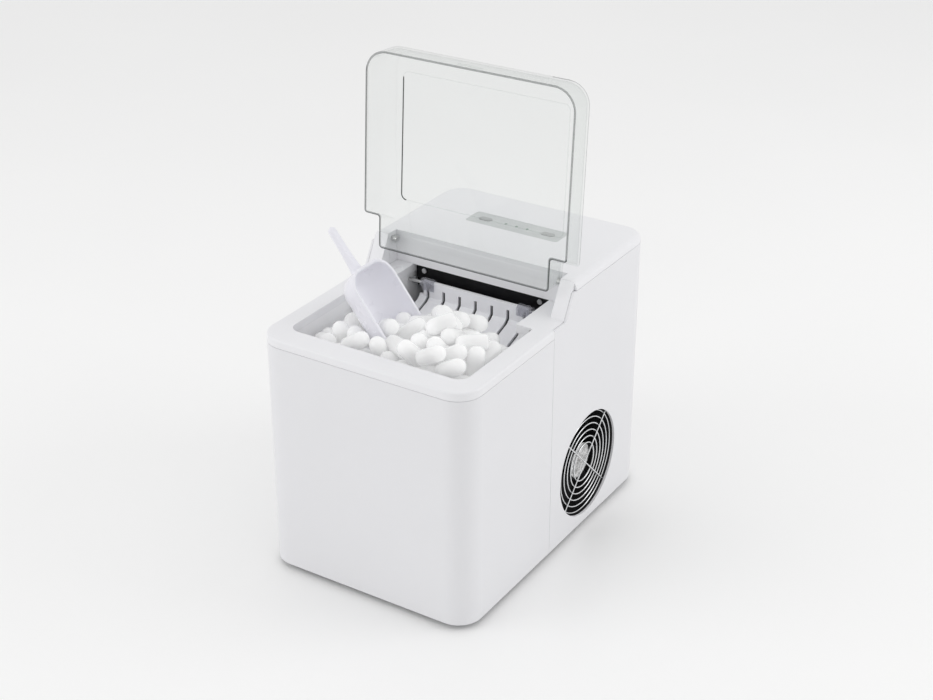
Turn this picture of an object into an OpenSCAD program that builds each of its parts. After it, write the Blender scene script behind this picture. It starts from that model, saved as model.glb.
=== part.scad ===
// Countertop ice maker with a clear hinged lid, a lift-out ice basket and a finger evaporator.
// Millimetres, +Z up, +Y to the back. The origin is on the floor under the middle of the cabinet.

/* [Cabinet] */
// Width of the cabinet, side to side
body_w = 242; // [240:1:246]
// Depth of the cabinet, front to back
body_d = 358; // [356:1:362]
// Height of the rear top above the floor
top_z = 300; // [299:1:302]
// Height of the rim that the lid rests on
rim_z = 265; // [264:1:265]
// Gap between the floor and the lower edge of the cabinet
foot_h = 6; // [5:1:7]
// Radius of the upright corners at the front
front_r = 26; // [22:1:28]
// Radius of the upright corners at the back
rear_r = 25; // [18:1:28]
// Thickness of the moulded walls
wall = 2.4; // [2:0.1:2.6]

/* [Lid] */
// How far the open lid stands from its closed pose, in degrees
lid_open = 93.5; // [90:0.5:94]
// Height of the lid's skirt
lid_h = 33; // [31:1:33]
// Thickness of the clear plastic
lid_t = 2.2; // [1.8:0.1:2.6]

/* [Ice making] */
// Number of evaporator fingers
fingers = 9; // [7:2:9]
// Distance between two fingers
finger_pitch = 15.5; // [14:0.5:16]
// Diameter of one finger
finger_d = 9; // [7:0.5:9]

/* [Fan] */
// Radius of the round fan opening
fan_r = 59; // [56:1:59]
// Distance between two rings of the wire guard
ring_pitch = 7.1; // [6.4:0.1:7.1]

/* [Hidden] */
$fn = 64;

eps = 0.01;
seam = 0.4;                                 // gap drawn between two moulded covers
half_w = body_w / 2;
half_d = body_d / 2;
seam_y = -19.5;                             // front housing meets rear housing
band_z = rim_z - 9;                         // lower edge of the rim's outer band
edge_r = 2.5;                               // rounding of the rim's outer edge
roof_r = 8;                                 // rounding of the rear top's edge
roof_z = top_z - roof_r - 0.8;              // control cover meets rear housing

// Opening in the rim: wide over the basket, narrow over the ice maker
open_x = 101;
open_front = -154;
open_back = -27;
open_r = 12;
neck_x = 82;
neck_back = 44;

// Sloped cheeks on both sides of the lid's tab
cheek_x = 103;
strip_x = -89;                              // finger recess on the strip beside the neck
slope_low = 3;
slope_high = 23;
trough_y = 37;                              // rear wall of the trough between the cheeks

// Lid in its closed pose
skirt_z = rim_z + 0.5;
lid_x = half_w - 1.5;
lid_front = -half_d + 2.5;
lid_back_low = -4;
lid_back_high = 11.4;
lid_corner = 24;
tab_x = 101;
tab_back = 31;
hinge_y = 29.1;
hinge_z = 293;
pin_r = 3;
running = 0.05;                             // radial clearance of a running fit

// Control panel on the rear top
panel_x = 56;
panel_y = 110;
panel_half = 14;
button_x = 38;
button_w = 15;
button_d = 8;
led_x = [-13, 0, 13];

// Tank, basket and foam
tank_x = 104;
tank_front = -158;
tank_back = -24;
tank_floor = 46;
nook_x = 86;
nook_back = 142;
nook_floor = 168;
tank_t = 2;
basket_x = 97;
basket_front = -150;
basket_back = -31;
basket_top = 228;
basket_floor = 112;

// Scoop standing in the ice
scoop_tilt = -38;
scoop_yaw = 95;
scoop_at = [6.4, -85, 238];
scoop_r = 34;
scoop_l = 100;
scoop_t = 1.8;
handle_y = 13;                              // handle's distance behind the plane of the mouth

// Tray and pusher: two parallel hinges across the machine
tray_y = 78;
tray_z = 236;
tray_r = 58;
tray_x = 76;
tray_shaft_r = 4;
push_y = 31;
push_z = 250;
pusher_pin_r = 1.9;
push_x = 69;
band_x = 64;
finger_y = 57;
cover_y = 40;
cover_screw = [70, 259];                    // screws of the evaporator cover, [x, z]
header_z = 240;

// Fan on the right side
fan_y = 60;
fan_z = 75;
guard_x = half_w - 5;
wire_r = 0.75;
hub_r = 19.5;
shroud_end = half_w - wall - 0.2;

// Compressor at the back on the left
comp_x = -52;
comp_y = 116;
comp_r = 45;

// Drain on the left side, near the front
drain_y = -128;
drain_z = 58;

gland_x = -70;
gland_z = 44;
gland_bore = 3.6;

// ---- helpers ----

// Rounded rectangle with its own radius at the front and at the back
module plan(x, y0, y1, rf, rr) {
    for (s = [-1, 1]) {
        translate([s * (x - rf), y0 + rf]) circle(rf);
        translate([s * (x - rr), y1 - rr]) circle(rr);
    }
    translate([-x, y0 + rf]) square([2 * x, y1 - rr - y0 - rf]);
    translate([rf - x, y0]) square([2 * (x - rf), rf + eps]);
    translate([rr - x, y1 - rr - eps]) square([2 * (x - rr), rr + eps]);
}

module footprint(inset = 0) {
    plan(half_w - inset, inset - half_d, half_d - inset, front_r - inset, rear_r - inset);
}

module slab(x, y0, y1, rf, rr, z0, z1) {
    translate([0, 0, z0]) linear_extrude(z1 - z0) plan(x, y0, y1, rf, rr);
}

// The same plan with its upper edge rounded by the radius f
module soft_slab(x, y0, y1, rf, rr, z0, z1, f) {
    slab(x, y0, y1, rf, rr, z0, z1 - f);
    slab(x - f, y0 + f, y1 - f, rf - f, rr - f, z1 - f - eps, z1);
    for (s = [-1, 1]) {
        translate([s * (x - rf), y0 + rf, z1 - f]) rotate_extrude() soft_profile(rf, f);
        translate([s * (x - rr), y1 - rr, z1 - f]) rotate_extrude() soft_profile(rr, f);
        translate([s * (x - f), y0 + rf, z1 - f]) rotate([-90, 0, 0]) cylinder(r = f, h = y1 - rr - y0 - rf);
    }
    translate([rf - x, y0 + f, z1 - f]) rotate([0, 90, 0]) cylinder(r = f, h = 2 * (x - rf));
    translate([rr - x, y1 - f, z1 - f]) rotate([0, 90, 0]) cylinder(r = f, h = 2 * (x - rr));
}

module soft_profile(r, f) {
    intersection() {
        union() {
            translate([0, -f]) square([r - f, 2 * f]);
            translate([r - f, 0]) circle(f);
        }
        translate([0, -f]) square([r + f, 2 * f]);
    }
}

module box(x0, x1, y0, y1, z0, z1) {
    translate([x0, y0, z0]) cube([x1 - x0, y1 - y0, z1 - z0]);
}

// Prism along X from a list of [y, z] points
module prism_x(x0, x1, points) {
    translate([x0, 0, 0]) rotate([90, 0, 90]) linear_extrude(x1 - x0) polygon(points);
}

// Round rod between two points
module rod(a, b, r) {
    d = b - a;
    len = norm(d);
    translate(a) rotate([0, acos(d[2] / len), atan2(d[1], d[0])]) cylinder(r = r, h = len, $fn = 24);
}

module pipe(points, r) {
    for (i = [0 : len(points) - 2]) rod(points[i], points[i + 1], r);
    for (i = [1 : len(points) - 2]) translate(points[i]) sphere(r + 0.06, $fn = 24);
}

// Slot with round ends, cut along the named direction
module slot_2d(length, width) {
    square([length - width, width], center = true);
    for (s = [-1, 1]) translate([s * (length - width) / 2, 0]) circle(width / 2, $fn = 24);
}

module cyl_x(x0, x1, y, z, r) {
    translate([x0, y, z]) rotate([0, 90, 0]) cylinder(r = r, h = x1 - x0);
}

module mirrored() {
    children();
    mirror([1, 0, 0]) children();
}

// ---- cabinet ----

module base_plate() color("gainsboro") difference() {
    union() {
        slab(half_w - wall - seam, wall + seam - half_d, half_d - wall - seam,
            front_r - wall - seam, rear_r - wall - seam, foot_h + 1, foot_h + 4);
        for (s = [-1, 1], y = [comp_y - 52, comp_y + 40])
            translate([comp_x + s * 40, y + 6, foot_h + 3]) cylinder(r = 9, h = 3);
    }
    for (s = [-1, 1], y = [comp_y - 52, comp_y + 40])
        translate([comp_x + s * 40, y + 6, foot_h]) cylinder(r = 3.2, h = 8);
    for (x = [-6 : 1 : 6]) translate([x * 8 + 24, 60, foot_h]) linear_extrude(6) rotate(90) slot_2d(70, 3.5);
    for (x = [-70, 70], y = [-120, -40, 128]) translate([x, y, foot_h]) cylinder(r = 1.85, h = 6, $fn = 24);
}

module feet() color("dimgray") for (x = [-1, 1], y = [-1, 1])
    translate([x * (half_w - 30), y * (half_d - 34), 0]) {
        cylinder(r1 = 9, r2 = 10, h = 2);
        translate([0, 0, 2]) cylinder(r = 10, h = foot_h - 1);
    }

module front_housing() color("whitesmoke") difference() {
    translate([0, 0, foot_h]) linear_extrude(band_z - foot_h - seam) intersection() {
        difference() {
            footprint();
            footprint(wall);
        }
        translate([-body_w, -body_d]) square([2 * body_w, body_d + seam_y - seam / 2]);
    }
    cyl_x(-half_w - 1, -half_w + 5, drain_y, drain_z, 9.5);
}

module vent_grid(columns, rows, pitch_x, pitch_y, length, width) {
    for (i = [0 : columns - 1], j = [0 : rows - 1])
        translate([(i - (columns - 1) / 2) * pitch_x, (j - (rows - 1) / 2) * pitch_y])
            slot_2d(length, width);
}

module rear_housing() color("whitesmoke") difference() {
    translate([0, 0, foot_h]) linear_extrude(roof_z - foot_h - seam) intersection() {
        difference() {
            footprint();
            footprint(wall);
        }
        translate([-body_w, seam_y + seam / 2]) square([2 * body_w, body_d]);
    }
    cyl_x(half_w - 12, half_w + 1, fan_y, fan_z, fan_r);
    prism_x(-body_w, body_w, [[seam_y - 5, rim_z - 0.6], [slope_low, rim_z - 0.6],
        [slope_high, top_z], [slope_high, top_z + 9], [seam_y - 5, top_z + 9]]);
    translate([-half_w + 5, 62, 92]) rotate([90, 0, -90]) linear_extrude(10)
        vent_grid(3, 9, 36, 10, 30, 3.6);
    translate([10, half_d + 5, 100]) rotate([90, 0, 0]) linear_extrude(10)
        vent_grid(3, 9, 36, 10, 30, 3.6);
    translate([gland_x, half_d - 8, gland_z]) rotate([-90, 0, 0]) cylinder(r = 7.5, h = 12);
    rear_screws(0.05);
}

module top_cover() color("white") {
    difference() {
        union() {
            intersection() {
                soft_slab(half_w, -half_d, half_d, front_r, rear_r, band_z, rim_z, edge_r);
                box(-body_w, body_w, -body_d, seam_y, 0, top_z);
            }
            slab(half_w - wall - seam, seam_y - 20, nook_back + 8, 4, 4, band_z, rim_z);
        }
        difference() {
            slab(half_w - wall - 2, wall - half_d, nook_back + 6, front_r - wall, 4, 0, rim_z - wall);
            slab(open_x + wall, open_front - wall, open_back + wall, open_r + wall, open_r + wall,
                band_z - 1, rim_z);
            slab(neck_x + wall, open_back - 20, neck_back + wall, 4, 4, band_z - 1, rim_z);
        }
        slab(open_x, open_front, open_back, open_r, 3, 0, top_z);
        slab(neck_x, open_back - 6, neck_back, 3, 3, 0, top_z);
        translate([strip_x, 19, rim_z - 1.2]) cylinder(r = 4.5, h = 5);
        cover_screw_shanks(0.05);
    }
    mirrored() prism_x(cheek_x, half_w - wall - seam, [[slope_low, rim_z - 1], [slope_high - seam, top_z],
        [slope_high - seam, rim_z - 1]]);
}

module control_cover() color("white") difference() {
    union() {
        intersection() {
            soft_slab(half_w, -half_d, half_d, front_r, rear_r, roof_z, top_z, roof_r);
            box(-body_w, body_w, slope_high, body_d, roof_z, top_z + 1);
        }
        mirrored() box(cheek_x, half_w - wall - seam, slope_high, 44, rim_z + 0.2, roof_z + 4);
        box(-cheek_x - 2, cheek_x + 2, trough_y, trough_y + wall, rim_z + 0.2, roof_z + 4);
    }
    difference() {
        slab(half_w - 5, trough_y + wall, half_d - 5, 4, rear_r - 5, roof_z - 1, top_z - 3.5);
        mirrored() box(cheek_x, half_w, slope_high, 44.5, 0, top_z);
    }
    box(-cheek_x, cheek_x, slope_high - 5, trough_y, rim_z, top_z + 1);
    mirrored() cyl_x(cheek_x - 1, cheek_x + 9, hinge_y, hinge_z, pin_r + running);
    slab(panel_x, panel_y - panel_half, panel_y + panel_half, 4, 4, top_z - 1.2, top_z + 1);
    panel_holes(0.3, top_z - 6);
}

module panel_holes(gap, z) {
    for (s = [-1, 1]) translate([s * button_x, panel_y, z]) linear_extrude(12)
        slot_2d(button_w + 2 * gap, button_d + 2 * gap);
    for (x = led_x) translate([x, panel_y, z]) cylinder(r = 1.5 + gap / 6, h = 12, $fn = 24);
}

module control_panel() color("lightslategray") difference() {
    slab(panel_x - 0.1, panel_y - panel_half + 0.1, panel_y + panel_half - 0.1, 3.9, 3.9,
        top_z - 1.2, top_z - 0.2);
    panel_holes(0.3, top_z - 6);
}

module indicator_lenses() color("palegreen") for (x = led_x)
    translate([x, panel_y, top_z - 4]) cylinder(r = 1.5, h = 4, $fn = 24);

module push_button(x) translate([x, panel_y, 0]) {
    translate([0, 0, top_z - 6]) linear_extrude(6.2) slot_2d(button_w, button_d);
    translate([0, 0, top_z - 6]) linear_extrude(1.6) slot_2d(button_w + 3, button_d + 3);
}

module power_button() color("slategray") push_button(button_x);

module select_button() color("slategray") push_button(-button_x);

module control_board() color("darkgreen") {
    box(-60, 60, panel_y - 20, panel_y + 20, top_z - 14, top_z - 12.4);
    for (s = [-1, 1]) {
        box(s * button_x - 3, s * button_x + 3, panel_y - 3, panel_y + 3, top_z - 12.5, top_z - 9);
        translate([s * button_x, panel_y, top_z - 9]) cylinder(r = 1.7, h = 1.4, $fn = 24);
    }
    for (x = led_x) translate([x, panel_y, top_z - 12.5]) cylinder(r = 1.2, h = 7, $fn = 24);
    for (s = [-1, 1]) translate([s * 54, panel_y - 14, top_z - 13]) cylinder(r = 2.5, h = 9.5, $fn = 24);
}

module power_board() color("seagreen") {
    box(-10, 80, 166, 167.6, 196, 262);
    box(0, 26, 154, 166, 206, 230);
    box(34, 52, 156, 166, 232, 250);
    for (z = [206, 222]) translate([64, 166, z]) rotate([90, 0, 0]) cylinder(r = 6, h = 12);
    for (x = [-6, 76], z = [200, 258])
        translate([x, 167, z]) rotate([-90, 0, 0]) cylinder(r = 2.5, h = half_d - wall - 167);
}

// ---- lid ----

// Closed lid, shrunk by t all round and at the top
module lid_form(t) {
    top = skirt_z + lid_h - t;
    low = skirt_z - t;
    reach = 1.15 * t;
    difference() {
        slab(lid_x - t, lid_front + t, 40, lid_corner - t, 6, low, top);
        prism_x(-body_w, body_w, [[lid_back_low - reach - 2, low - 2], [lid_back_low - reach, skirt_z],
            [lid_back_high - reach, skirt_z + lid_h], [lid_back_high - reach, top + 9], [80, top + 9],
            [80, low - 2]]);
    }
    slab(tab_x - t, lid_back_low - 30, tab_back - t, 3, 4 - t, low, top);
}

module lid() color([0.8, 0.86, 0.85, 0.35])
    translate([0, hinge_y, hinge_z]) rotate([-lid_open, 0, 0]) translate([0, -hinge_y, -hinge_z])
        difference() {
            union() {
                difference() {
                    lid_form(0);
                    lid_form(lid_t);
                }
                mirrored() cyl_x(tab_x - 6, tab_x - 1, hinge_y, hinge_z, pin_r + 2);
                slab(15, lid_front - 1.6, lid_front + 6, 3, 3, skirt_z + 3, skirt_z + 4.8);
            }
            mirrored() cyl_x(tab_x - 5, tab_x + 1, hinge_y, hinge_z, pin_r);
            slab(96, -150, -14, 5, 5, skirt_z + lid_h - 0.7, skirt_z + lid_h + 1);
        }

module lid_hinge_pins() color("silver") mirrored() cyl_x(tab_x - 5, cheek_x + 8, hinge_y, hinge_z, pin_r);

// ---- tank ----

module tank_form(t, z0, z1) {
    slab(tank_x - t, tank_front + t, tank_back - t, 12 - t, 6 - t, z0, z1);
}

module nook_form(t, z0, z1) {
    slab(nook_x - t, tank_back - 12, nook_back - t, 3, 8 - t, z0, z1);
}

module inner_tank() color("ghostwhite") difference() {
    union() {
        tank_form(0, tank_floor, band_z - 0.6);
        nook_form(0, nook_floor, band_z - 0.6);
    }
    tank_form(tank_t, tank_floor + tank_t, top_z);
    nook_form(tank_t, nook_floor + tank_t, top_z);
    cyl_x(-nook_x - 1, nook_x + 1, tray_y, tray_z, tray_shaft_r + 0.3);
    cyl_x(-nook_x - 1, nook_x + 1, push_y, push_z, pusher_pin_r + running);
    cyl_x(-nook_x - 1, nook_x + 1, finger_y, header_z + 4, 3.4);
    cyl_x(-nook_x - 1, 0, 40, 246, 3.8);
    cyl_x(-tank_x - 1, -tank_x + 5, drain_y, drain_z, 5);
    translate([-60, tank_back - 5, 60]) rotate([-90, 0, 0]) cylinder(r = 4.2, h = 10);
}

module insulation_foam() color("lightyellow") difference() {
    slab(half_w - wall - 1, wall + 1 - half_d, seam_y + 1, front_r - wall - 1, 2, foot_h + 5, band_z - 4);
    tank_form(-0.5, tank_floor - 0.5, top_z);
    nook_form(-0.5, nook_floor - 0.5, top_z);
    cyl_x(-body_w, -tank_x + 5, drain_y, drain_z, 12);
    translate([-60, tank_back - 5, 60]) rotate([-90, 0, 0]) cylinder(r = 6, h = 20);
}

module ice_sensors() color("black") mirrored() cyl_x(basket_x + 1.2, tank_x - tank_t, -45, 246, 4);

module ice_basket() color("white") difference() {
    slab(basket_x, basket_front, basket_back, 10, 6, basket_floor, basket_top);
    slab(basket_x - 2, basket_front + 2, basket_back - 2, 8, 4, basket_floor + 2, basket_top + 1);
    translate([0, (basket_front + basket_back) / 2, basket_floor - 1]) linear_extrude(5)
        vent_grid(6, 6, 29, 16, 22, 5);
    translate([0, 0, 160]) rotate([90, 0, 0]) linear_extrude(400, center = true)
        vent_grid(5, 2, 34, 40, 26, 5);
}

// ---- scoop ----

// Half profile of the bowl, turned round its axis; the end at the handle is rounded
module scoop_form(t, from) rotate_extrude() {
    translate([0, from]) square([scoop_r - t, scoop_l - 20 - from]);
    translate([0, from]) square([scoop_r - 20, scoop_l - t - from]);
    intersection() {
        translate([scoop_r - 20, scoop_l - 20]) circle(20 - t);
        square([scoop_r, scoop_l]);
    }
}

module ice_scoop() color("lavender") translate(scoop_at) rotate([0, scoop_tilt, 0]) rotate(scoop_yaw) {
    difference() {
        scoop_form(0, 0);
        scoop_form(scoop_t, -1);
        prism_x(-50, 50, [[-50, -1], [24, -1], [0, 28], [0, scoop_l + 1], [-50, scoop_l + 1]]);
    }
    translate([0, handle_y, scoop_l - 1.5]) cylinder(r1 = 6, r2 = 4, h = 48);
    translate([0, handle_y, scoop_l + 46.4]) sphere(3.9);
}

// ---- ice making ----

module evaporator() color("silver") {
    span = (fingers - 1) * finger_pitch;
    box(-span / 2 - 9, span / 2 + 9, finger_y - 8, finger_y + 8, header_z, header_z + 8);
    for (i = [0 : fingers - 1]) translate([i * finger_pitch - span / 2, finger_y, 0]) {
        translate([0, 0, header_z - 44]) cylinder(r = finger_d / 2, h = 45);
        translate([0, 0, header_z - 46]) cylinder(r1 = finger_d / 2 - 1.6, r2 = finger_d / 2, h = 2);
    }
}

module evaporator_cover() color([0.08, 0.08, 0.09]) difference() {
    union() {
        slab(80, cover_y, tray_y + 12, 2, 2, header_z + 1, header_z + 14.6);
        box(-80, 80, cover_y, cover_y + 3, header_z + 10, rim_z - 0.6);
    }
    slab(78, cover_y + 3, tray_y + 10, 1, 1, header_z - 3, header_z + 12.6);
    cover_screw_shanks(0.05);
    cyl_x(-81, 81, finger_y, header_z + 4, 3.4);
}

module cover_screw_shanks(gap) mirrored() translate([cover_screw[0], cover_y - 1, cover_screw[1]])
    rotate([-90, 0, 0]) cylinder(r = 1.5 + gap, h = neck_back + wall - cover_y + 1, $fn = 24);

module cover_screws() color("silver") {
    cover_screw_shanks(0);
    mirrored() translate([cover_screw[0], cover_y - 1.2, cover_screw[1]]) rotate([-90, 0, 0])
        cylinder(r = 2.8, h = 1.2, $fn = 24);
}

// Quarter bucket whose curved wall is centred on its hinge
module bucket_2d(r) {
    polygon(concat([[0, 0]], [for (a = [200 : 5 : 275]) [r * cos(a), r * sin(a)]]));
}

module water_tray() color([0.85, 0.88, 0.9]) difference() {
    union() {
        translate([-tray_x, tray_y, tray_z]) rotate([90, 0, 90]) linear_extrude(2 * tray_x) bucket_2d(tray_r);
        cyl_x(-tray_x, tray_x, tray_y, tray_z, tray_shaft_r + 3);
    }
    translate([2 - tray_x, tray_y - 1.4, tray_z]) rotate([90, 0, 90]) linear_extrude(2 * tray_x - 4)
        bucket_2d(tray_r - 2);
    cyl_x(-body_w, body_w, tray_y, tray_z, tray_shaft_r);
}

module tray_shaft() color("gainsboro") cyl_x(-nook_x - 4, nook_x + 8, tray_y, tray_z, tray_shaft_r);

module ice_pusher() color("white") difference() {
    prism_x(-push_x, push_x, [[31.5, 254], [28.6, 254], [28.6, 236], [24, 232.4], [3, 225.6], [-12, 220.6],
        [-12, 218], [3, 222.8], [25.4, 230], [31.5, 235]]);
    for (i = [-3 : 3]) translate([i * 19.5, 15.5, 215]) linear_extrude(31) rotate(90) slot_2d(38, 3.4);
    mirrored() box(band_x, push_x + 1, 20, 40, 238, 260);
}

module pusher_arms() color([0.85, 0.85, 0.88, 0.6]) mirrored() difference() {
    union() {
        prism_x(band_x - 13, band_x, [[28.6, 243], [25, 245], [25, 253], [28, 256], [32, 256], [34, 253],
            [34, 246], [31.5, 246], [31.5, 254], [28.6, 254]]);
        cyl_x(band_x, band_x + 3, push_y, push_z, 5);
    }
    cyl_x(band_x - 1, band_x + 5, push_y, push_z, pusher_pin_r);
}

module pusher_pins() color("silver") mirrored() cyl_x(band_x, nook_x + 2, push_y, push_z, pusher_pin_r);

module tray_motor() color("silver") {
    difference() {
        cyl_x(nook_x + 3, nook_x + 21, tray_y + 10, tray_z, 22);
        cyl_x(nook_x + 2, nook_x + 9, tray_y, tray_z, tray_shaft_r + running);
    }
    for (s = [-1, 1])
        box(nook_x, nook_x + 4, tray_y + 10 + s * 24 - 4, tray_y + 10 + s * 24 + 4, tray_z - 5, tray_z + 5);
}

module end_switches() color("black") for (z = [200, 232])
    box(-nook_x - 8, -nook_x, 96, 112, z, z + 9);

// ---- water and cooling ----

module water_pump() color("black") {
    translate([-60, 14, foot_h + 4]) cylinder(r = 17, h = 34);
    translate([-60, 14, foot_h + 37.9]) cylinder(r = 20, h = 11.1);
    rod([-60, 12, 60], [-60, tank_back - 4, 60], 4);
    translate([-60, 12, foot_h + 46]) cylinder(r = 7, h = 14);
}

module pump_hose() color("lightgray")
    pipe([[-73, 14, foot_h + 49], [-73, 14, 130], [-96, 30, 160], [-96, 40, 246], [-82, 40, 246]], 3.5);

module compressor() color([0.1, 0.1, 0.11]) {
    translate([comp_x, comp_y, 26]) cylinder(r = comp_r, h = 84);
    translate([comp_x, comp_y, 110]) cylinder(r1 = comp_r, r2 = 26, h = 18);
    translate([comp_x, comp_y, 20]) cylinder(r1 = 30, r2 = comp_r, h = 6);
    difference() {
        box(comp_x - 50, comp_x + 50, comp_y - 46, comp_y + 46, 19, 21.5);
        for (s = [-1, 1], y = [comp_y - 46, comp_y + 46])
            translate([comp_x + s * 40, y, 15]) cylinder(r = 5, h = 10);
    }
}

module compressor_grommets() color("black") for (s = [-1, 1], y = [comp_y - 46, comp_y + 46])
    translate([comp_x + s * 40, y, foot_h + 6]) cylinder(r = 7, h = 19 - foot_h - 6);

module condenser() color("silver") {
    for (y = [-48 : 6 : 48]) box(40, 60, fan_y + y, fan_y + y + 0.8, 18, 128);
    for (z = [26 : 18 : 116], x = [45, 55]) rod([x, fan_y - 50, z], [x, fan_y + 52, z], 3);
    for (z = [26 : 36 : 98], x = [45, 55]) rod([x, fan_y + 52, z], [x, fan_y + 52, z + 18], 3);
}

module fan_shroud() color("gray") {
    difference() {
        cyl_x(66, shroud_end, fan_y, fan_z, fan_r + 2.6);
        cyl_x(65, half_w, fan_y, fan_z, fan_r + 0.4);
        guard_ends(0.05);
    }
    difference() {
        box(64, 67, fan_y - 60, fan_y + 60, 16, 134);
        cyl_x(63, 68, fan_y, fan_z, fan_r - 2);
    }
    for (a = [45, 135]) translate([65.5, fan_y, fan_z]) rotate([a, 0, 0])
        cube([3, 2 * fan_r - 2, 6], center = true);
}

module fan_motor() color("dimgray") {
    cyl_x(67, 88, fan_y, fan_z, 17);
    cyl_x(87, 99, fan_y, fan_z, 2);
}

module fan_blade() color("gainsboro") difference() {
    union() {
        cyl_x(91, 111, fan_y, fan_z, hub_r);
        for (i = [0 : 6]) translate([0, fan_y, fan_z]) rotate([i * 360 / 7, 0, 0])
            translate([98, 0, 34]) rotate([0, 0, 34]) cube([1.6, 24, 38], center = true);
    }
    cyl_x(90, 101, fan_y, fan_z, 2 + running);
}

// Two straight wires across the rings, with their ends held in the shroud
module guard_ends(gap) for (a = [45, 135]) translate([guard_x + 1.3, fan_y, fan_z]) rotate([a, 0, 0])
    translate([0, 0, -fan_r - 1.4]) cylinder(r = wire_r + gap, h = 2 * fan_r + 2.8, $fn = 24);

module fan_guard() color("silver") {
    for (i = [0 : 5]) translate([guard_x, fan_y, fan_z]) rotate([0, 90, 0]) rotate_extrude()
        translate([21.4 + i * ring_pitch, 0]) circle(wire_r, $fn = 24);
    guard_ends(0);
}

module refrigerant_pipes() color([0.72, 0.45, 0.3]) {
    pipe([[comp_x + 20, comp_y + 10, 128], [comp_x + 20, comp_y + 10, 150], [20, 130, 150], [45, 130, 116],
        [45, 115, 116]], 2.5);
    pipe([[comp_x - 15, comp_y, 128], [comp_x - 15, comp_y, 148], [-102, 100, 164], [-102, finger_y, 200],
        [-102, finger_y, header_z + 4], [-71, finger_y, header_z + 4]], 3);
    pipe([[55, 115, 26], [55, 136, 26], [66, 148, 42], [66, 148, 58]], 2.5);
    pipe([[66, 148, 150], [66, 148, 160], [112, 138, 165], [112, 100, 190], [112, finger_y, 200],
        [112, finger_y, header_z + 4], [71, finger_y, header_z + 4]], 1.6);
}

module filter_drier() color([0.72, 0.45, 0.3]) {
    translate([66, 148, 66]) cylinder(r = 8, h = 72);
    translate([66, 148, 58]) cylinder(r1 = 3, r2 = 8, h = 8);
    translate([66, 148, 138]) cylinder(r1 = 8, r2 = 2.5, h = 12);
}

module gas_valve() color("goldenrod") {
    box(-4, 24, 146, 170, 128, 150);
    translate([10, 158, 150]) cylinder(r = 8, h = 22);
}

// ---- drain, gland, fasteners ----

module drain_spout() color("white") difference() {
    union() {
        cyl_x(-half_w + 3, -tank_x + 3, drain_y, drain_z, 4.9);
        cyl_x(-half_w + 3, -half_w + 9, drain_y, drain_z, 9);
    }
    cyl_x(-half_w, -tank_x + 4, drain_y, drain_z, 3.4);
}

module drain_cap() color("dimgray") {
    cyl_x(-half_w + 0.2, -half_w + 2.9, drain_y, drain_z, 8.5);
    cyl_x(-half_w + 2, -half_w + 12, drain_y, drain_z, 3.4 - running);
}

module cord_gland() color("dimgray") translate([gland_x, 0, gland_z]) difference() {
    union() {
        translate([0, half_d - 10, 0]) rotate([-90, 0, 0]) cylinder(r = 7.4, h = 9.6);
        translate([0, half_d - 8, 0]) rotate([-90, 0, 0]) cylinder(r = 10, h = 5);
    }
    translate([0, half_d - 12, 0]) rotate([-90, 0, 0]) cylinder(r = gland_bore, h = 14);
}

module rear_screws(gap) for (x = [-90, 90], z = [28, 270])
    translate([x, half_d - 9, z]) rotate([-90, 0, 0]) cylinder(r = 1.8 + gap, h = 9 - 0.3 + gap, $fn = 24);

module housing_screws() color("silver") rear_screws(0);

module base_screws() color("silver") for (x = [-70, 70], y = [-120, -40, 128])
    translate([x, y, foot_h - 0.6]) {
        cylinder(r = 3.5, h = 1.6, $fn = 24);
        cylinder(r = 1.8, h = 5.4, $fn = 24);
    }

base_plate();
feet();
front_housing();
rear_housing();
top_cover();
control_cover();
control_panel();
indicator_lenses();
power_button();
select_button();
control_board();
power_board();
lid();
lid_hinge_pins();
insulation_foam();
inner_tank();
ice_sensors();
ice_basket();
ice_scoop();
evaporator();
evaporator_cover();
cover_screws();
water_tray();
tray_shaft();
ice_pusher();
pusher_arms();
pusher_pins();
tray_motor();
end_switches();
water_pump();
pump_hose();
compressor();
compressor_grommets();
condenser();
fan_shroud();
fan_motor();
fan_blade();
fan_guard();
refrigerant_pipes();
filter_drier();
gas_valve();
drain_spout();
drain_cap();
cord_gland();
housing_screws();
base_screws();
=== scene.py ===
import math

import bmesh
import bpy
import numpy as np
from mathutils import Matrix, Vector


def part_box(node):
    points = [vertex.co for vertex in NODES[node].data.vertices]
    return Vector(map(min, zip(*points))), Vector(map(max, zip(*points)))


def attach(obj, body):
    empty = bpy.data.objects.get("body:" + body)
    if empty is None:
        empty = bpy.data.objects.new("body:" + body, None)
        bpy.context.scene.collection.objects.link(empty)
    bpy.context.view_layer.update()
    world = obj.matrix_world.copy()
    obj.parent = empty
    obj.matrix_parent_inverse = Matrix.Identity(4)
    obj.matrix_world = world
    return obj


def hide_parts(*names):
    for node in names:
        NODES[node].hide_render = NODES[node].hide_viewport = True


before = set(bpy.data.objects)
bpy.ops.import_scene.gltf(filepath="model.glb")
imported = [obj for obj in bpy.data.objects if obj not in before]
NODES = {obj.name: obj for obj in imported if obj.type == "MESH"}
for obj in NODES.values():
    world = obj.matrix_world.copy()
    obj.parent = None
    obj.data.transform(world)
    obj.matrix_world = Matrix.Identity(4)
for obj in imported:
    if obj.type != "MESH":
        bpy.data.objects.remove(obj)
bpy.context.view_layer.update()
MM = 0.001


# ---- materials ----

GRAIN_DEPTH = 0.4 * MM


def math_node(tree, operation, first, second):
    """Math node; each of its two inputs is a number or another node's output."""
    node = tree.nodes.new("ShaderNodeMath")
    node.operation = operation
    for socket, value in zip(node.inputs, (first, second)):
        if isinstance(value, float):
            socket.default_value = value
        else:
            tree.links.new(value, socket)
    return node.outputs[0]


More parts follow.
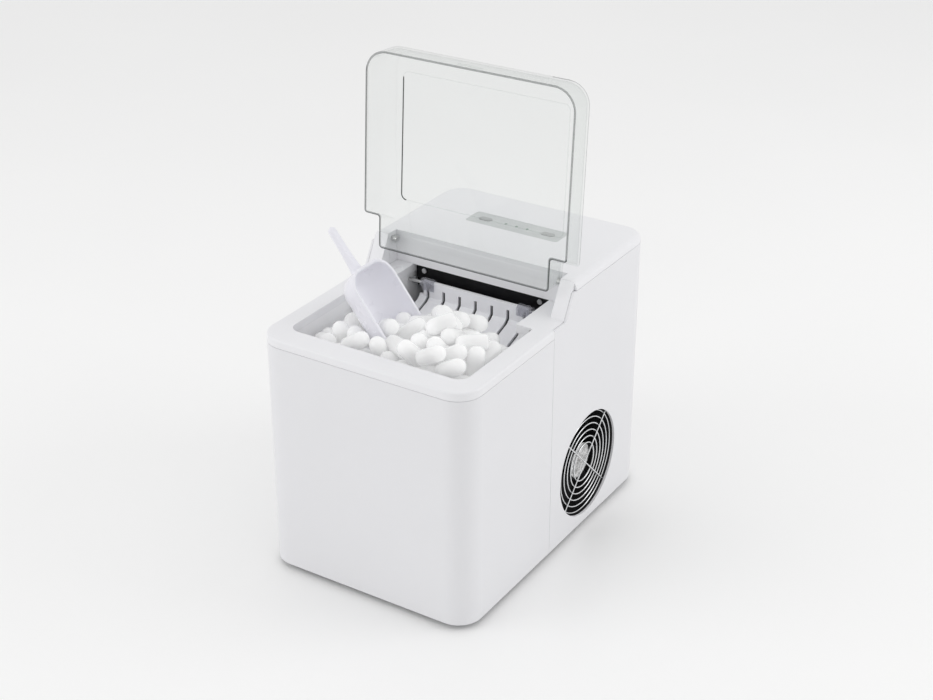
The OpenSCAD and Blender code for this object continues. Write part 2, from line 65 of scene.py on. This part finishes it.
def ramp_node(tree, factor, low, high, start=0.0, end=1.0):
    """Colour ramp from low at start to high at end."""
    ramp = tree.nodes.new("ShaderNodeValToRGB")
    for stop, position, color in zip(ramp.color_ramp.elements, (start, end), (low, high)):
        stop.position = position
        stop.color = (*color, 1)
    tree.links.new(factor, ramp.inputs["Fac"])
    return ramp.outputs["Color"]


def noise_node(tree, place, scale, detail=2.0, distortion=0.0):
    """Noise over the object's own coordinates."""
    noise = tree.nodes.new("ShaderNodeTexNoise")
    noise.inputs["Scale"].default_value = scale
    noise.inputs["Detail"].default_value = detail
    noise.inputs["Distortion"].default_value = distortion
    tree.links.new(place.outputs["Object"], noise.inputs["Vector"])
    return noise.outputs["Fac"]


def material(name, color, rough=0.4, spread=0.03, scale=40.0, grain=600.0, bump=0.04, metal=0.0,
             rough_spread=0.06, **sockets):
    """Principled material whose colour, roughness and relief vary a little over the surface."""
    m = bpy.data.materials.new(name)
    m.use_nodes = True
    nodes, links = m.node_tree.nodes, m.node_tree.links
    shader = nodes["Principled BSDF"]
    place = nodes.new("ShaderNodeTexCoord")
    wide = noise_node(m.node_tree, place, scale, detail=4.0)
    low = [max(c * (1 - spread), 0) for c in color]
    high = [min(c * (1 + spread), 1) for c in color]
    links.new(ramp_node(m.node_tree, wide, low, high, 0.3, 0.7), shader.inputs["Base Color"])
    span = nodes.new("ShaderNodeMapRange")
    span.inputs["To Min"].default_value = max(rough - rough_spread, 0.02)
    span.inputs["To Max"].default_value = rough + rough_spread
    links.new(wide, span.inputs["Value"])
    links.new(span.outputs["Result"], shader.inputs["Roughness"])
    relief = nodes.new("ShaderNodeBump")
    relief.inputs["Strength"].default_value = bump
    relief.inputs["Distance"].default_value = GRAIN_DEPTH
    links.new(noise_node(m.node_tree, place, grain, detail=3.0), relief.inputs["Height"])
    links.new(relief.outputs["Normal"], shader.inputs["Normal"])
    shader.inputs["Metallic"].default_value = metal
    for socket, value in sockets.items():
        shader.inputs[socket.replace("_", " ")].default_value = value
    return m


def clear_material(name, tint, rough, body, grey, ior=1.45):
    """Clear plastic: light passes straight on with a tint, and the outer face reflects a part of it."""
    m = bpy.data.materials.new(name)
    m.use_nodes = True
    nodes, links = m.node_tree.nodes, m.node_tree.links
    nodes.remove(nodes["Principled BSDF"])
    cloud = noise_node(m.node_tree, nodes.new("ShaderNodeTexCoord"), 9.0)
    through = nodes.new("ShaderNodeBsdfTransparent")
    links.new(ramp_node(m.node_tree, cloud, [c * 0.985 for c in tint], tint), through.inputs["Color"])
    shine = nodes.new("ShaderNodeBsdfGlossy")
    shine.inputs["Roughness"].default_value = rough
    # diffuse share: haze in the clear looks, painted dark shade in the two lid edge looks
    haze_and_edge_shade = nodes.new("ShaderNodeBsdfDiffuse")
    haze_and_edge_shade.inputs["Color"].default_value = (*grey, 1)
    inside = nodes.new("ShaderNodeMixShader")
    inside.inputs["Fac"].default_value = body
    links.new(through.outputs[0], inside.inputs[1])
    links.new(haze_and_edge_shade.outputs[0], inside.inputs[2])
    fresnel = nodes.new("ShaderNodeFresnel")
    fresnel.inputs["IOR"].default_value = ior
    facing = nodes.new("ShaderNodeNewGeometry")
    front = math_node(m.node_tree, "SUBTRACT", 1.0, facing.outputs["Backfacing"])
    surface = nodes.new("ShaderNodeMixShader")
    links.new(math_node(m.node_tree, "MULTIPLY", fresnel.outputs[0], front), surface.inputs["Fac"])
    links.new(inside.outputs[0], surface.inputs[1])
    links.new(shine.outputs[0], surface.inputs[2])
    links.new(surface.outputs[0], nodes["Material Output"].inputs["Surface"])
    return m


# just beyond the hub's edge, and how far behind its front face the pale disc reaches, in millimetres
HUB_R = 19.7
HUB_FACE = 0.3


def fan_material():
    """Black blades, and a pale disc on the hub's front face, round the fan's axis."""
    m = material("fan_black", (0.008, 0.008, 0.009), 0.5, 0.1, 60, 900, 0.1, Specular_IOR_Level=0.15)
    tree, links = m.node_tree, m.node_tree.links
    low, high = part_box("fan_blade")
    centre = (low + high) / 2
    place = tree.nodes.new("ShaderNodeTexCoord")
    split = tree.nodes.new("ShaderNodeSeparateXYZ")
    links.new(place.outputs["Object"], split.inputs[0])
    across = [math_node(tree, "POWER", math_node(tree, "SUBTRACT", split.outputs[axis], value), 2.0)
              for axis, value in (("Y", centre.y), ("Z", centre.z))]
    in_disc = math_node(tree, "LESS_THAN", math_node(tree, "ADD", *across), (HUB_R * MM) ** 2)
    in_front = math_node(tree, "GREATER_THAN", split.outputs["X"], high.x - HUB_FACE * MM)
    streaks = noise_node(tree, place, 170.0, distortion=2.5)
    mix = tree.nodes.new("ShaderNodeMix")
    mix.data_type = "RGBA"
    links.new(math_node(tree, "MULTIPLY", in_disc, in_front), mix.inputs["Factor"])
    base = tree.nodes["Principled BSDF"].inputs["Base Color"]
    links.new(base.links[0].from_socket, mix.inputs["A"])
    links.new(ramp_node(tree, streaks, (0.30, 0.30, 0.30), (0.80, 0.80, 0.80), 0.35, 0.6), mix.inputs["B"])
    links.new(mix.outputs["Result"], base)
    return m


# solid looks: colour, roughness, spread and scale of the variation, scale and strength of the grain
# clear looks: tint, roughness, share of haze and its colour, and the ior of its reflection; in the two lid
# edge looks the dark tint and haze are painted shade
M = {
    "shell": material("shell_white", (0.80, 0.80, 0.82), 0.36, 0.012, 6, 900, 0.03),
    "rim": material("rim_white", (0.84, 0.84, 0.86), 0.30, 0.012, 6, 900, 0.03),
    # painted light: inner_white and basket_white are lighter than the shell's white of the same plastic,
    # standing in for light reaching inside the tank
    "inner": material("inner_white", (0.93, 0.93, 0.945), 0.34, 0.02, 12, 500, 0.03),
    "basket": material("basket_white", (0.92, 0.92, 0.94), 0.30, 0.02, 12, 500, 0.03),
    "pusher": material("pusher_white", (0.90, 0.90, 0.93), 0.32, 0.02, 20, 700, 0.04),
    "panel": material("panel_grey", (0.58, 0.60, 0.60), 0.42, 0.05, 60, 1500, 0.12),
    "button": material("button_grey", (0.42, 0.43, 0.43), 0.4, 0.06, 80, 1500, 0.10),
    "lens": material("lens_green", (0.25, 0.34, 0.28), 0.2, 0.08, 300, 900, 0.02),
    "board": material("board_green", (0.02, 0.11, 0.05), 0.35, 0.15, 200, 900, 0.1),
    "foam": material("foam_bead", (0.80, 0.79, 0.72), 0.8, 0.05, 260, 260, 0.6),
    "black": material("moulded_black", (0.008, 0.008, 0.009), 0.5, 0.2, 60, 900, 0.1,
                      Specular_IOR_Level=0.15),
    "rubber": material("rubber_black", (0.03, 0.03, 0.032), 0.75, 0.15, 90, 700, 0.25),
    "grey": material("moulded_grey", (0.16, 0.16, 0.17), 0.45, 0.08, 60, 900, 0.12),
    "fan": fan_material(),
    "shroud": material("shroud_dark", (0.02, 0.02, 0.021), 0.5, 0.1, 50, 900, 0.1, Specular_IOR_Level=0.3),
    "steel": material("zinc_steel", (0.6, 0.6, 0.6), 0.32, 0.08, 120, 1200, 0.1, metal=1.0),
    "plate": material("zinc_sheet", (0.55, 0.56, 0.58), 0.42, 0.1, 30, 500, 0.08, metal=1.0),
    "chrome": material("bright_wire", (0.78, 0.79, 0.80), 0.16, 0.03, 200, 1500, 0.04, metal=1.0),
    "nickel": material("nickel_plate", (0.66, 0.65, 0.62), 0.22, 0.05, 90, 900, 0.06, metal=1.0),
    "fins": material("fin_aluminium", (0.72, 0.73, 0.75), 0.36, 0.08, 160, 1200, 0.1, metal=1.0),
    "copper": material("bare_copper", (0.72, 0.38, 0.24), 0.3, 0.15, 70, 900, 0.1, metal=1.0),
    "brass": material("valve_brass", (0.70, 0.52, 0.22), 0.32, 0.1, 90, 900, 0.1, metal=1.0),
    "enamel": material("compressor_enamel", (0.012, 0.012, 0.013), 0.3, 0.2, 40, 300, 0.12),
    "hose": material("silicone_hose", (0.62, 0.64, 0.66), 0.3, 0.05, 80, 700, 0.05, Alpha=0.75),
    "tray": material("tray_clear", (0.70, 0.72, 0.76), 0.2, 0.04, 30, 500, 0.03, Alpha=0.7),
    "arm": clear_material("arm_clear", (0.86, 0.86, 0.89), 0.12, 0.25, (0.6, 0.6, 0.64)),
    "lid": clear_material("lid_clear", (0.982, 0.988, 0.985), 0.03, 0.02, (0.6, 0.62, 0.61)),
    # painted shade: the two lid edge looks darken the lid's edges to stand in for the dark lines that
    # refraction draws along clear plastic
    "edge": clear_material("lid_edge_painted_shade", (0.30, 0.31, 0.31), 0.08, 0.6, (0.07, 0.075, 0.075), 1.03),
    "soft_edge": clear_material("lid_soft_edge_painted_shade", (0.62, 0.63, 0.63), 0.06, 0.35, (0.22, 0.23, 0.23), 1.06),
}

LOOK = {
    "base_plate": "plate", "feet": "rubber", "front_housing": "shell", "rear_housing": "shell",
    "top_cover": "rim", "control_cover": "rim", "control_panel": "panel", "indicator_lenses": "lens",
    "power_button": "button", "select_button": "button", "control_board": "board",
    "power_board": "board", "lid_hinge_pins": "steel", "insulation_foam": "foam",
    "inner_tank": "inner", "ice_sensors": "black", "ice_basket": "basket", "evaporator": "nickel",
    "evaporator_cover": "black", "cover_screws": "steel", "water_tray": "tray",
    "tray_shaft": "inner", "ice_pusher": "pusher", "pusher_arms": "arm", "pusher_pins": "steel",
    "tray_motor": "steel", "end_switches": "black", "water_pump": "black", "pump_hose": "hose",
    "compressor": "enamel", "compressor_grommets": "rubber", "condenser": "fins",
    "fan_shroud": "shroud", "fan_motor": "black", "fan_blade": "fan", "fan_guard": "chrome",
    "refrigerant_pipes": "copper", "filter_drier": "copper", "gas_valve": "brass",
    "drain_spout": "inner", "drain_cap": "grey", "cord_gland": "grey", "housing_screws": "steel",
    "base_screws": "steel", "lid": "lid", "ice_scoop": "inner",
}
for name, look in LOOK.items():
    slots = NODES[name].data.materials
    if not slots:
        slots.append(M[look])
    for index in range(len(slots)):
        slots[index] = M[look]


# ---- shared mesh helpers, in millimetres ----

def new_object(name, verts, faces, mats, body, smooth, nodes=()):
    """Mesh object from points in metres, riding on a body, smooth up to an angle in degrees."""
    mesh = bpy.data.meshes.new(name)
    mesh.from_pydata([tuple(v) for v in verts], [], faces)
    mesh.validate()
    obj = bpy.data.objects.new(name, mesh)
    bpy.context.scene.collection.objects.link(obj)
    for m in mats:
        mesh.materials.append(m)
    b = bmesh.new()
    b.from_mesh(mesh)
    bmesh.ops.recalc_face_normals(b, faces=b.faces)
    b.to_mesh(mesh)
    b.free()
    mesh.shade_smooth()
    mesh.set_sharp_from_angle(angle=math.radians(smooth))
    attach(obj, body)
    if nodes:
        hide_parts(*nodes)
    return obj


def strip(first, second, count):
    """Quads between two open rows of points, named by the rows' first points."""
    return [(first + i, first + i + 1, second + i + 1, second + i) for i in range(count - 1)]


def loft(verts, faces, rows, capped=True, ring=False):
    """Adds a tube through closed rows of points and says how many faces that made.

    capped closes both ends, and ring joins the last row to the first.
    """
    count, start, old = len(rows[0]), len(verts), len(faces)
    starts = [start + k * count for k in range(len(rows))]
    verts += [point for row in rows for point in row]
    for first, second in zip(starts, starts[1:] + starts[:1] if ring else starts[1:]):
        faces += [(first + i, first + (i + 1) % count, second + (i + 1) % count, second + i)
                  for i in range(count)]
    if capped:
        faces += [tuple(range(end, end + count)) for end in (starts[0], starts[-1])]
    return len(faces) - old


def circle(count):
    """Angles of a full turn in equal steps."""
    return [2 * math.pi * i / count for i in range(count)]


def arc(cx, cy, r, start, end, steps):
    """Points on an arc, from start to end in degrees."""
    angles = [math.radians(start + (end - start) * i / steps) for i in range(steps + 1)]
    return [(cx + r * math.cos(a), cy + r * math.sin(a)) for a in angles]


# ---- lid: a thin shell with a rounded plate edge, a skirt and a narrower tab at the hinge ----

HINGE = Vector((0, 29.1, 293.0))
LID_TURN = math.radians(-93.5)
SKIRT_Z, LID_H, LID_T, EDGE_R = 265.5, 33.0, 2.2, 8.0
LID_TOP = SKIRT_Z + LID_H
LID_X, LID_FRONT = 119.5, -176.5
TAB_X, TAB_Y, WING_Y = 101.0, 31.0, -4.0
HEM = 0.35
RIB = 0.3
KNUCKLE_R, KNUCKLE_X = 5.0, (96.5, 99.6)
# slots of the lid: clear, then two painted edge shades standing in for refraction lines, dark and soft
CLEAR, PAINTED_DARK_EDGE, PAINTED_SOFT_EDGE = 0, 1, 2


def lid_outline(inset, rise):
    """Closed plan of the lid. The wings beside the tab reach further back as the skirt rises from 0 to 1."""
    x, front = LID_X - inset, LID_FRONT + inset
    tab_x, tab_y = TAB_X - inset, TAB_Y - inset
    wing = WING_Y + 15.4 * rise - inset * 0.9
    corner, wing_r, tab_r = max(24 - inset, 1), max(3.2 - inset, 0.5), max(4 - inset, 0.6)
    hollow = 3 + inset * 0.4
    right = [(0.0, front), (x * 0.35, front), (x * 0.65, front)]
    right += arc(x - corner, front + corner, corner, -90, 0, 12)
    right += [(x, -110), (x, -60)]
    right += arc(x - wing_r, wing - wing_r, wing_r, 0, 90, 5)
    right += arc(tab_x + hollow, wing + hollow, hollow, 270, 180, 5)
    right += arc(tab_x - tab_r, tab_y - tab_r, tab_r, 0, 90, 5)
    right += [(tab_x * 0.5, tab_y), (0.0, tab_y)]
    return right + [(-px, py) for px, py in reversed(right[1:-1])]


def field_outline(inset):
    """Rounded rectangle of the lid's raised field."""
    x, front, back, r = 96 - inset, -150 + inset, -14 - inset, 6 - inset
    return (arc(x - r, front + r, r, -90, 0, 6) + arc(x - r, back - r, r, 0, 90, 6)
            + arc(r - x, back - r, r, 90, 180, 6) + arc(r - x, front + r, r, 180, 270, 6))


def skin_rows(inset, edge_r):
    """Rows up one face of the shell, from just above the hem, round the plate's edge, to the flat plate."""
    levels = [(inset, 0.0, SKIRT_Z + HEM)]
    levels += [(inset, rise, SKIRT_Z + LID_H * rise) for rise in (0.3, 0.55)]
    for k in range(7):
        a = math.radians(15 * k)
        z = LID_TOP - EDGE_R + edge_r * math.sin(a)
        levels.append((inset + edge_r * (1 - math.cos(a)), min((z - SKIRT_Z) / LID_H, 1), z))
    return [[(x, y, z) for x, y in lid_outline(inset, rise)] for inset, rise, z in levels]


def lid_slot(kind, x, y):
    """Slot of a face of the closed lid. Which stretches of its edges get painted dark shade, and which a
    softer painted shade, is given here.
    """
    if kind == "hem":
        return PAINTED_SOFT_EDGE if (x > 60 and y < -20) or y < -160 else PAINTED_DARK_EDGE
    if kind == "lip":
        return PAINTED_SOFT_EDGE
    if kind == "edge":
        return PAINTED_SOFT_EDGE if x > 85 and y < -8 else CLEAR
    if kind == "rib":
        return PAINTED_DARK_EDGE if x < -89 and y > -140 else CLEAR
    return CLEAR


def make_lid():
    """The lid, shaped closed and then turned open about its pins."""
    verts, faces, kinds = [], [], []

    def add(rows, row_kinds=None, **ends):
        count = len(rows[0])
        new = loft(verts, faces, rows, **ends)
        named = [kind for kind in row_kinds or [] for _ in range(count)]
        kinds.extend(named + ["plain"] * (new - len(named)))

    outer, inner = skin_rows(0.0, EDGE_R), skin_rows(LID_T, EDGE_R - LID_T)
    hem = [(x, y, SKIRT_Z) for x, y in lid_outline(LID_T / 2, 0)]
    add(outer[::-1] + [hem] + inner, ["plain"] * 3 + ["edge"] * 2 + ["plain"] * 4 + ["hem", "lip"])
    rib = [[(x, y, LID_TOP + lift) for x, y in field_outline(inset)]
           for inset, lift in ((-0.4, -RIB), (-0.4, RIB), (0.6, RIB), (0.6, -RIB))]
    add(rib, ["rib"] * 4, capped=False, ring=True)
    catch = [(-15, -176.4), (-13.5, -178.0), (13.5, -178.0), (15, -176.4)]
    add([[(x, y, SKIRT_Z + up) for x, y in catch] for up in (3, 4.8)])
    for side in (-1, 1):
        add([[(side * x, HINGE.y + KNUCKLE_R * math.cos(a), HINGE.z + KNUCKLE_R * math.sin(a))
              for a in circle(20)] for x in KNUCKLE_X])
    turn = Matrix.Translation(HINGE) @ Matrix.Rotation(LID_TURN, 4, "X") @ Matrix.Translation(-HINGE)
    # the second and third slots hold the painted edge shade
    lid = new_object("lid_shell", [(turn @ Vector(v)) * MM for v in verts], faces,
                     [M["lid"], M["edge"], M["soft_edge"]], "lid", 35, ["lid"])
    for face, kind in zip(lid.data.polygons, kinds):
        middle = sum((Vector(verts[i]) for i in face.vertices), Vector()) / len(face.vertices)
        face.material_index = lid_slot(kind, middle.x, middle.y)
    return lid


make_lid()


# ---- scoop: its own axis is z, from the mouth to the handle, and y points into the bowl's back ----

SCOOP = (Matrix.Translation((6.4, -85, 238)) @ Matrix.Rotation(math.radians(-38), 4, "Y")
         @ Matrix.Rotation(math.radians(95), 4, "Z"))
SCOOP_R, SCOOP_L, SCOOP_T = 34.0, 100.0, 1.8
SHOULDER_R = 20.0
SHOULDER_Z, FLAT_R = SCOOP_L - SHOULDER_R, SCOOP_R - SHOULDER_R
LIP_DROP, LIP_SPAN = 28.0, 24.0
BEAD_R, BEAD_H = 1.7, 1.5
HANDLE_L, HANDLE_Y, HANDLE_R = 51.8, 13.0, 4.5


def bowl_profile(angle, depth):
    """Radius and height up the bowl at one bearing: slanting lip, barrel, round shoulder, flat end."""
    radius, bend = SCOOP_R - depth, SHOULDER_R - depth
    lip = LIP_DROP * (1 - min(radius * math.cos(angle) / LIP_SPAN, 1))
    barrel = [(radius, lip + (SHOULDER_Z - lip) * part) for part in np.linspace(0, 1, 16)]
    shoulder = [(FLAT_R + bend * math.cos(b), SHOULDER_Z + bend * math.sin(b))
                for b in (math.radians(10 * k) for k in range(1, 10))]
    flat = [(FLAT_R * (1 - k / 4.4), SCOOP_L - depth) for k in range(1, 5)]
    return barrel + shoulder + flat


def add_bowl(verts, faces):
    """Half-round shell: an outer and an inner skin, joined along the mouth, the lip and the end."""
    angles = [math.pi * (j / 36 - 0.5) for j in range(37)]
    count = len(angles)
    for depth in (0.0, SCOOP_T):
        columns = [bowl_profile(a, depth) for a in angles]
        for row in zip(*columns):
            verts += [(r * math.sin(a), r * math.cos(a), z) for a, (r, z) in zip(angles, row)]
    rows = len(columns[0])
    skin = rows * count
    for start in (0, skin):
        for i in range(rows - 1):
            faces += strip(start + i * count, start + (i + 1) * count, count)
    for i in range(rows - 1):
        for a in (i * count, (i + 1) * count - 1):
            faces.append((a, a + count, a + count + skin, a + skin))
    for i in (0, rows - 1):
        faces += strip(i * count, i * count + skin, count)


def add_bead(verts, faces):
    """Bead round the mouth, up one side, across the end and down the other."""
    side = [(-SCOOP_R, z) for z in np.linspace(LIP_DROP + 1, SHOULDER_Z, 12)]
    side += [(-(FLAT_R + SHOULDER_R * math.cos(b)), SHOULDER_Z + SHOULDER_R * math.sin(b))
             for b in np.linspace(0.12, math.pi / 2, 10)]
    path = [Vector((x, 0, z)) for x, z in side + [(-x, z) for x, z in reversed(side)]]
    rows = []
    for i, point in enumerate(path):
        ahead = path[min(i + 1, len(path) - 1)] - path[max(i - 1, 0)]
        across = ahead.normalized().cross(Vector((0, 1, 0)))
        rows.append([point + across * BEAD_R * math.cos(a) + Vector((0, BEAD_H * math.sin(a) + 0.4, 0))
                     for a in circle(8)])
    loft(verts, faces, rows)


def add_handle(verts, faces):
    """Handle that flares into the bowl, with a groove along its upper side and a rounded tip."""
    rows = []
    for u in np.linspace(0, 1, 25):
        r = HANDLE_R + 1.6 * (1 - u) ** 2 + 1.6 * math.exp(-u * 14)
        if u > 0.93:
            r *= math.sqrt(max(1 - ((u - 0.93) / 0.07) ** 2 * 0.97, 0.01))
        depth = 0.22 * min(max(u - 0.12, 0) * 8, 1)
        row = []
        for a in circle(24):
            groove = 1 - depth * math.exp(-((a - 1.5 * math.pi) / 0.5) ** 2)
            row.append((r * 1.04 * math.cos(a), HANDLE_Y + r * 0.86 * math.sin(a) * groove,
                        SCOOP_L - 1.5 + HANDLE_L * u))
        rows.append(row)
    loft(verts, faces, rows)


def make_scoop():
    verts, faces = [], []
    add_bowl(verts, faces)
    add_bead(verts, faces)
    add_handle(verts, faces)
    plastic = material("scoop_translucent", (0.86, 0.855, 0.91), 0.28, 0.02, 20, 500, 0.03)
    return new_object("scoop_moulding", [(SCOOP @ Vector(v)) * MM for v in verts], faces, [plastic],
                      "scoop", 40, ["ice_scoop"])


make_scoop()


# ---- ice: hollow thimbles that ride on the basket ----

BULLET_R, BULLET_REACH = 8.9, 7.6
BASKET_LOW, BASKET_HIGH = np.array([-94.0, -147.0, 115.0]), np.array([94.0, -33.0, 400.0])
SETTLE_STEPS, SINK = 150, 0.12


def heap_height(x, y):
    """Height of the heap: lower at the left wall and at the pusher, highest right of the middle."""
    fall = np.clip((-54 - x) / 30, 0, 1)
    back = np.clip((y + 82) / 28, 0, 1) * (1 - 0.8 * np.exp(-((x - 28) / 15) ** 2))
    side = np.clip((x - 50) / 20, 0, 1) * np.clip((y + 100) / 30, 0, 1)
    peak = np.exp(-((x - 30) / 17) ** 2 - ((y + 68) / 20) ** 2)
    ridge = np.exp(-((x - 30) / 60) ** 2 - ((y + 100) / 34) ** 2)
    return 256 - 30 * fall - 34 * back - 22 * side + 38 * peak + 7 * ridge


def stack(rng):
    """Centres of the pieces in loose layers, up to the heap's height and outside the scoop's wall."""
    centre = np.array([(-86 + 19.4 * i + 5 * (k % 2), -138 + 20.5 * j + 5 * (k % 2), 125 + 16.4 * k)
                       for k in range(12) for j in range(6) for i in range(10)], float)
    centre += rng.uniform(-4, 4, centre.shape)
    centre = centre[centre[:, 2] < heap_height(centre[:, 0], centre[:, 1]) - 3]
    x, y, z = in_scoop(centre).T
    in_wall = (np.abs(np.hypot(x, y) - SCOOP_R) < 4) & (y > 0) & (z > 0)
    return centre[~in_wall]


def in_scoop(points):
    """Points in the scoop's own axes."""
    place = np.array(SCOOP)
    return (points - place[:3, 3]) @ place[:3, :3]


def off_scoop(points):
    """Push that keeps balls at these points clear of the scoop's wall, on the side they are on."""
    local = in_scoop(points)
    x, y, z = local.T
    across = np.hypot(x, y) + 1e-6
    side = np.where(across > SCOOP_R, 1.0, -1.0)
    overlap = np.clip(BULLET_R + 1.5 - np.abs(across - SCOOP_R), 0, None)
    beside = (y > -4) & (z > -4) & (z < SCOOP_L + 4)
    push = np.zeros_like(local)
    push[:, :2] = local[:, :2] / across[:, None] * (side * overlap * beside)[:, None]
    return push @ np.array(SCOOP)[:3, :3].T


def off_each_other(points, apart):
    """Push that parts balls of different pieces where they overlap."""
    gap = points[:, None] - points[None]
    dist = np.sqrt((gap ** 2).sum(-1)) + 1e-6
    overlap = np.clip(2 * BULLET_R - dist, 0, None) * apart
    return (gap / dist[..., None] * overlap[..., None] * 0.28).sum(1)


def settle(seed):
    """Both ball centres of each piece: two joined balls that sink a little and push apart, step by step."""
    rng = np.random.default_rng(seed)
    centre = stack(rng)
    count = len(centre)
    aim = rng.normal(size=(count, 3))
    aim[:, 2] *= 1.6
    aim /= np.linalg.norm(aim, axis=1)[:, None]
    ends = np.stack([centre - aim * BULLET_REACH, centre + aim * BULLET_REACH], 1).reshape(-1, 3)
    owner = np.repeat(np.arange(count), 2)
    apart = owner[:, None] != owner[None, :]
    for _ in range(SETTLE_STEPS):
        ends[:, 2] -= SINK
        ends += off_each_other(ends, apart)
        ends += off_scoop(ends) * 0.6
        pair = ends.reshape(count, 2, 3)
        middle = pair.mean(1)
        half = (pair[:, 1] - pair[:, 0]) / 2
        half *= BULLET_REACH / (np.linalg.norm(half, axis=1)[:, None] + 1e-6)
        ends = np.stack([middle - half, middle + half], 1).reshape(-1, 3)
        ends = np.clip(ends, BASKET_LOW + BULLET_R, BASKET_HIGH - BULLET_R)
    return ends.reshape(count, 2, 3)


# radius and height: domed tip, straight flank, rounded rim and a narrow hollow, between two middle points
TIP_Z, HOLLOW_Z = 17.6, 7.5
BULLET = [(3.6, 17.2), (6.6, 15.6), (8.7, 12.4), (9.4, 7.5), (9.5, 0.0), (9.4, -8.0), (9.1, -13.6),
          (8.3, -15.8), (6.7, -16.6), (4.8, -16.0), (4.2, -13.0), (3.8, 0.0), (3.0, 6.0)]
WOBBLY_ROWS = 7


def add_bullet(verts, faces, middle, axis, rng):
    """One thimble of its own size, with an uneven outside."""
    sides = 14
    turn = axis.to_track_quat("Z", "Y").to_matrix()
    size = rng.uniform(0.87, 0.94)
    wobble = rng.uniform(-0.35, 0.35, (len(BULLET) + 2, sides))

    def place(x, y, z):
        return middle + turn @ Vector((x, y, z * size))

    rows = []
    for i, (r, z) in enumerate(BULLET):
        radii = [(r + (wobble[i + 1, j] if i < WOBBLY_ROWS else 0)) * size for j in range(sides)]
        rows.append([place(q * math.cos(a), q * math.sin(a), z) for q, a in zip(radii, circle(sides))])
    first = len(verts)
    loft(verts, faces, rows, capped=False)
    last = len(verts) - sides
    verts += [place(0, 0, TIP_Z), place(0, 0, HOLLOW_Z)]
    for j in range(sides):
        faces.append((len(verts) - 2, first + j, first + (j + 1) % sides))
        faces.append((len(verts) - 1, last + (j + 1) % sides, last + j))


def make_ice(seed):
    """The heap; each thimble turns its domed tip, not its hollow, up and to the front.

    The faint emission stands in for light that real ice scatters inside.
    """
    rng = np.random.default_rng(seed + 1)
    shown = Vector((0.35, -0.6, 0.7))
    verts, faces = [], []
    for a, b in settle(seed):
        axis = Vector(b - a).normalized()
        add_bullet(verts, faces, Vector((a + b) / 2), -axis if axis.dot(shown) < 0 else axis, rng)
    ice = material("cloudy_ice", (0.985, 0.988, 0.99), 0.24, 0.012, 90, 260, 0.2, Subsurface_Weight=1.0,
                   Subsurface_Scale=0.035, Subsurface_Radius=(1, 1, 1), IOR=1.31,
                   Emission_Color=(1, 1, 1, 1), Emission_Strength=0.07)
    return new_object("ice_bullets", [v * MM for v in verts], faces, [ice], "basket", 50)


make_ice(7)


# ---- stage, light and camera, in metres ----

FLOOR_REACH = 60.0
LENS, SENSOR = 66.791, 36.0
CAMERA_PLACE = (0.850, -1.333, 1.025)
CAMERA_AZIMUTH, CAMERA_ELEVATION = math.radians(32.3), math.radians(27.5)


def link(name, data):
    """New object in the scene."""
    obj = bpy.data.objects.new(name, data)
    bpy.context.scene.collection.objects.link(obj)
    return obj


def area_light(name, place, target, size, power):
    """Square soft light of one size that faces a target."""
    light = bpy.data.lights.new(name, "AREA")
    light.size = size
    light.energy = power
    obj = link(name, light)
    obj.location = place
    obj.rotation_euler = (Vector(target) - Vector(place)).to_track_quat("-Z", "Y").to_euler()


def make_stage():
    corners = [(x * FLOOR_REACH, y * FLOOR_REACH, 0) for x, y in ((-1, -1), (1, -1), (1, 1), (-1, 1))]
    mesh = bpy.data.meshes.new("floor")
    mesh.from_pydata(corners, [], [(0, 1, 2, 3)])
    mesh.materials.append(material("floor_pale", (0.95, 0.95, 0.948), 0.34, 0.01, 1.5, 200, 0.0))
    link("floor", mesh)
    world = bpy.data.worlds.new("studio")
    world.use_nodes = True
    world.node_tree.nodes["Background"].inputs["Color"].default_value = (1, 1, 1, 1)
    world.node_tree.nodes["Background"].inputs["Strength"].default_value = 0.80
    bpy.context.scene.world = world
    bpy.context.scene.view_settings.view_transform = "Standard"
    area_light("top_soft", (0.1, 0.2, 2.2), (0, 0, 0.2), 2.4, 3.5)
    area_light("right_soft", (1.9, 1.1, 1.2), (0, 0, 0.15), 1.4, 10)
    area_light("left_soft", (-1.6, -1.7, 1.1), (0, 0, 0.15), 1.4, 10)


def make_camera():
    data = bpy.data.cameras.new("camera")
    data.sensor_width = SENSOR
    data.lens = LENS
    camera = link("camera", data)
    camera.location = CAMERA_PLACE
    level = math.cos(CAMERA_ELEVATION)
    look = Vector((-math.sin(CAMERA_AZIMUTH) * level, math.cos(CAMERA_AZIMUTH) * level,
                   -math.sin(CAMERA_ELEVATION)))
    camera.rotation_euler = look.to_track_quat("-Z", "Y").to_euler()
    bpy.context.scene.camera = camera


make_stage()
make_camera()
